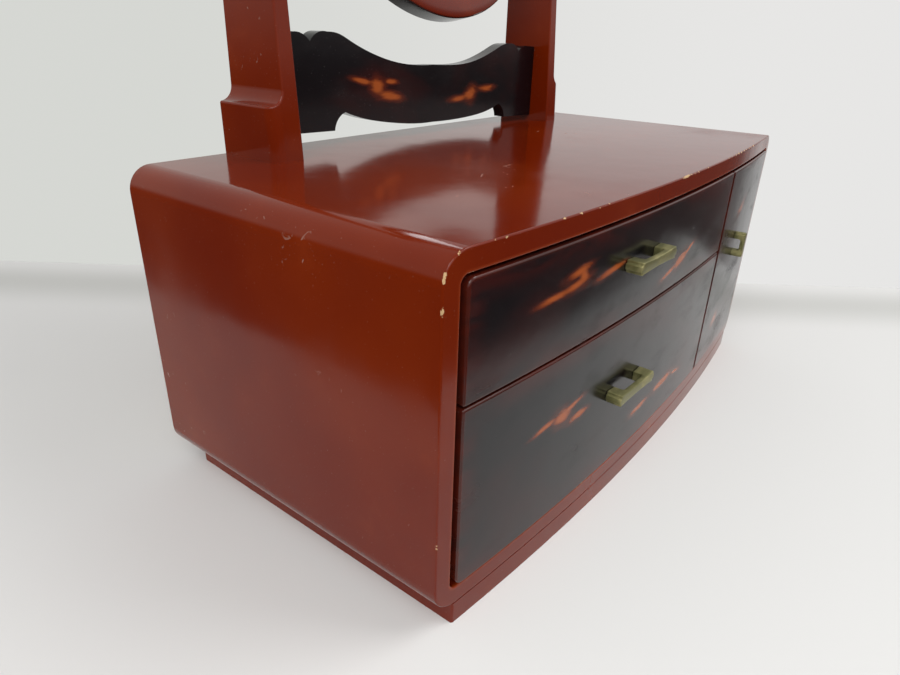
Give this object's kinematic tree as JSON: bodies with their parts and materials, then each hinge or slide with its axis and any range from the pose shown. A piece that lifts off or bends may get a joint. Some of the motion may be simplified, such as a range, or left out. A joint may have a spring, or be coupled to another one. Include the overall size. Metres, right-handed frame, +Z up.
{
  "type": "vanity box with mirror",
  "caption": "Low bow-fronted lacquered vanity box with stacked drawers, a narrow door and a round mirror tilting between two posts.",
  "frame": {"origin": "on the floor, at the centre of the bounding box in plan", "axes": "+X to the right seen from the front, +Y to the rear, +Z up"},
  "size_m": [0.45, 0.2596, 0.5134],
  "materials": {
    "red_lacquer": "gloss vermilion lacquer, worn at the edges",
    "mirror_lacquer": "gloss vermilion lacquer, black edge",
    "tortoise_lacquer": "semi-gloss dark tortoiseshell-pattern lacquer",
    "case_wood": "planed softwood",
    "plywood": "thin plywood",
    "pull_brass": "aged olive patina",
    "pivot_brass": "satin",
    "steel": "dull zinc",
    "glass": "silvered glass",
    "washer_leather": "leather",
    "black_lacquer": "gloss black lacquer"
  },
  "bodies": {
    "case": {"top_board": "red_lacquer", "bottom_board": "red_lacquer", "left_side": "red_lacquer", "right_side": "red_lacquer", "back_panel": "plywood", "back_pins": "steel", "partition": "case_wood", "drawer_shelf": "case_wood", "drawer_guides": "case_wood", "plinth_front": "red_lacquer", "plinth_left": "red_lacquer", "plinth_right": "red_lacquer", "plinth_rear": "red_lacquer", "plinth_screws": "steel", "left_post": "red_lacquer", "right_post": "red_lacquer", "post_screws": "steel", "crossbar": "tortoise_lacquer", "door_bushes": "pivot_brass", "door_washer": "pivot_brass"},
    "upper_drawer": {"upper_drawer_front": "tortoise_lacquer", "upper_drawer_left_side": "case_wood", "upper_drawer_right_side": "case_wood", "upper_drawer_back": "case_wood", "upper_drawer_bottom": "plywood", "upper_drawer_pull": "pull_brass", "upper_drawer_bolts": "steel"},
    "lower_drawer": {"lower_drawer_front": "tortoise_lacquer", "lower_drawer_left_side": "case_wood", "lower_drawer_right_side": "case_wood", "lower_drawer_back": "case_wood", "lower_drawer_bottom": "plywood", "lower_drawer_pull": "pull_brass", "lower_drawer_bolts": "steel"},
    "door": {"door_panel": "tortoise_lacquer", "door_pull": "pull_brass", "door_bolts": "steel", "door_pins": "pivot_brass"},
    "mirror": {"mirror_frame": "mirror_lacquer", "mirror_glass": "glass", "mirror_back": "plywood", "mirror_screws": "steel", "left_stud": "pivot_brass", "right_stud": "pivot_brass", "left_collar": "black_lacquer", "right_collar": "black_lacquer", "pivot_washers": "washer_leather"},
    "left_knob": {"left_knob": "black_lacquer"},
    "right_knob": {"right_knob": "black_lacquer"}
  },
  "joints": [
    {"name": "upper_drawer_slide", "type": "slide", "parent": "case", "child": "upper_drawer", "axis": [0, -1, 0], "range_m": [0, 0.15]},
    {"name": "lower_drawer_slide", "type": "slide", "parent": "case", "child": "lower_drawer", "axis": [0, -1, 0], "range_m": [0, 0.15]},
    {"name": "door_hinge", "type": "hinge", "parent": "case", "child": "door", "pos_m": [0.2081, -0.10357, 0.1036], "axis": [0, 0, 1], "range_deg": [0, 90]},
    {"name": "mirror_tilt", "type": "hinge", "parent": "case", "child": "mirror", "pos_m": [0, 0.09711, 0.393], "axis": [1, 0, 0], "continuous": true},
    {"name": "left_knob_turn", "type": "hinge", "parent": "mirror", "child": "left_knob", "pos_m": [-0.158, 0.09711, 0.393], "axis": [1, 0, 0], "continuous": true},
    {"name": "right_knob_turn", "type": "hinge", "parent": "mirror", "child": "right_knob", "pos_m": [0.158, 0.09711, 0.393], "axis": [1, 0, 0], "continuous": true}
  ]
}
